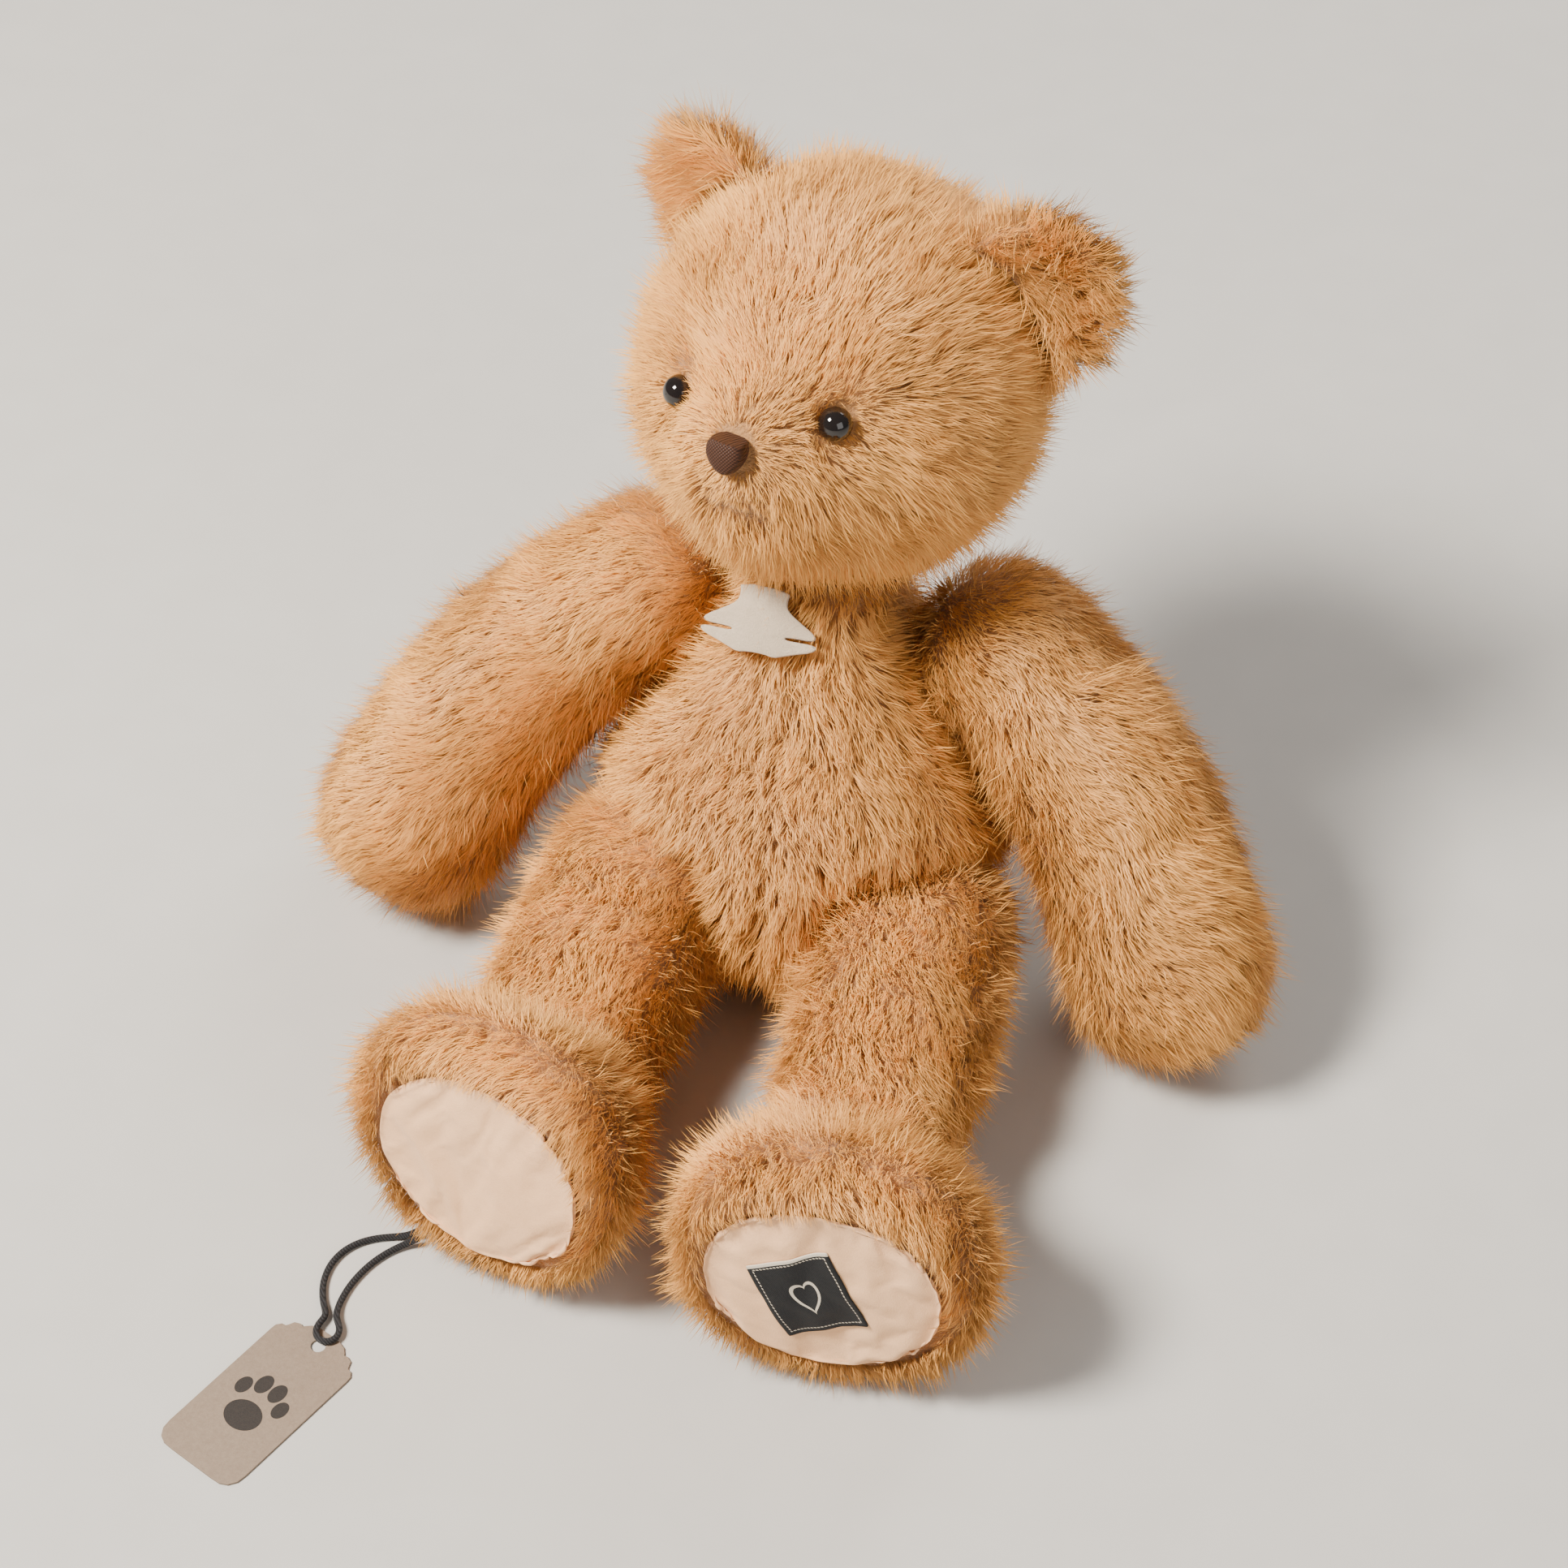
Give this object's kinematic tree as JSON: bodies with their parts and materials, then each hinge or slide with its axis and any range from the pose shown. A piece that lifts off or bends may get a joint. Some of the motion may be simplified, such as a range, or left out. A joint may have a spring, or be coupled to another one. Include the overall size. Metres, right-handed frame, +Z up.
{
  "type": "jointed teddy bear",
  "caption": "Seated plush teddy bear whose head, arms and legs turn on disc joints, with velour soles, a felt neck tag and a card swing tag on a cord.",
  "frame": {"origin": "centre of the flat resting patch under the seat, on the surface the bear sits on", "axes": "+Z up, -Y the way the bear faces and its legs reach, +X to the bear's left"},
  "size_m": [0.3632, 0.4266, 0.3062],
  "materials": {
    "plush": "matte",
    "stuffing": "matte",
    "velour": "matte",
    "felt": "matte",
    "nose_satin": "satin",
    "eye": "gloss",
    "nylon": "matte",
    "label": "satin",
    "card": "matte",
    "cord": "matte"
  },
  "bodies": {
    "torso": {"body_plush_left": "plush", "body_plush_right": "plush", "body_stuffing": "stuffing", "neck_washer": "nylon", "shoulder_washer_left": "nylon", "shoulder_washer_right": "nylon", "hip_washer_left": "nylon", "hip_washer_right": "nylon", "neck_tag": "felt"},
    "head": {"head_gusset": "plush", "head_side_left": "plush", "head_side_right": "plush", "head_stuffing": "stuffing", "ear_left": "plush", "ear_right": "plush", "eye_left": "eye", "eye_right": "eye", "eye_washer_left": "nylon", "eye_washer_right": "nylon", "nose": "nose_satin", "neck_disc": "nylon", "neck_lock": "nylon"},
    "arm_left": {"arm_outer_left": "plush", "arm_inner_left": "plush", "arm_stuffing_left": "stuffing", "shoulder_disc_left": "nylon", "shoulder_lock_left": "nylon"},
    "arm_right": {"arm_outer_right": "plush", "arm_inner_right": "plush", "arm_stuffing_right": "stuffing", "shoulder_disc_right": "nylon", "shoulder_lock_right": "nylon"},
    "leg_left": {"leg_outer_left": "plush", "leg_inner_left": "plush", "leg_stuffing_left": "stuffing", "hip_disc_left": "nylon", "hip_lock_left": "nylon", "sole_left": "velour", "foot_label": "label"},
    "leg_right": {"leg_outer_right": "plush", "leg_inner_right": "plush", "leg_stuffing_right": "stuffing", "hip_disc_right": "nylon", "hip_lock_right": "nylon", "sole_right": "velour", "swing_tag": "card", "tag_cord": "cord"}
  },
  "joints": [
    {"name": "neck_turn", "type": "hinge", "parent": "torso", "child": "head", "pos_m": [0, 0.02851, 0.16418], "axis": [0, 0.2756, 0.9613], "continuous": true},
    {"name": "arm_swing_left", "type": "hinge", "parent": "torso", "child": "arm_left", "pos_m": [0.04, 0.02379, 0.11144], "axis": [-0.848, -0.1461, -0.5094], "range_deg": [-105, 90]},
    {"name": "arm_swing_right", "type": "hinge", "parent": "torso", "child": "arm_right", "pos_m": [-0.04, 0.02379, 0.11144], "axis": [-0.848, 0.1461, 0.5094], "range_deg": [-105, 90]},
    {"name": "leg_swing_left", "type": "hinge", "parent": "torso", "child": "leg_left", "pos_m": [0.02, -0.038, 0.0365], "axis": [0.9994, 0.0349, 0], "range_deg": [-6, 92]},
    {"name": "leg_swing_right", "type": "hinge", "parent": "torso", "child": "leg_right", "pos_m": [-0.02, -0.038, 0.0365], "axis": [0.9998, -0.0175, 0], "range_deg": [-6, 92]}
  ]
}
